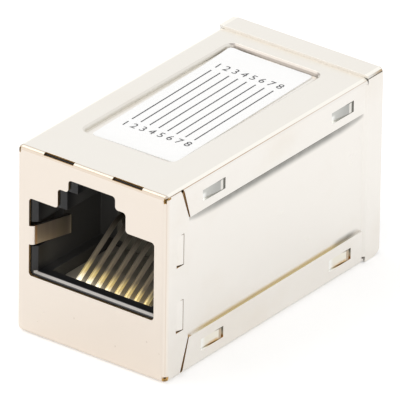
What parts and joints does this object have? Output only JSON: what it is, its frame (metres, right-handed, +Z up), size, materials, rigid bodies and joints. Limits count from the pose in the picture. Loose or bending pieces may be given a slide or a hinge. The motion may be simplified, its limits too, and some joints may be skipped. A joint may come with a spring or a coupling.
{
  "type": "rj45 inline coupler",
  "caption": "Shielded inline coupler: a folded metal case with a modular socket at each end, joining two network cable plugs end to end.",
  "frame": {"origin": "centre of the case's underside", "axes": "+X right when facing the front port, +Y from the front port towards the rear port, +Z up"},
  "size_m": [0.0158, 0.0304, 0.0178],
  "materials": {
    "shield_metal": "satin nickel plating over brass sheet",
    "black_plastic": "semi-gloss moulded",
    "carrier_plastic": "semi-gloss moulded",
    "gold_contact": "polished gold plating",
    "board_laminate": "solder-mask laminate",
    "clear_film": "amber insulating film",
    "label_film": null
  },
  "bodies": {
    "root": {"front_shield": "shield_metal", "rear_shield": "shield_metal", "front_housing": "black_plastic", "rear_housing": "black_plastic", "front_contact_carrier": "carrier_plastic", "rear_contact_carrier": "carrier_plastic", "circuit_board": "board_laminate", "insulating_sheet": "clear_film", "top_label": "label_film", "front_contact_1": "gold_contact", "front_contact_2": "gold_contact", "front_contact_3": "gold_contact", "front_contact_4": "gold_contact", "front_contact_5": "gold_contact", "front_contact_6": "gold_contact", "front_contact_7": "gold_contact", "front_contact_8": "gold_contact", "rear_contact_1": "gold_contact", "rear_contact_2": "gold_contact", "rear_contact_3": "gold_contact", "rear_contact_4": "gold_contact", "rear_contact_5": "gold_contact", "rear_contact_6": "gold_contact", "rear_contact_7": "gold_contact", "rear_contact_8": "gold_contact"}
  },
  "joints": []
}
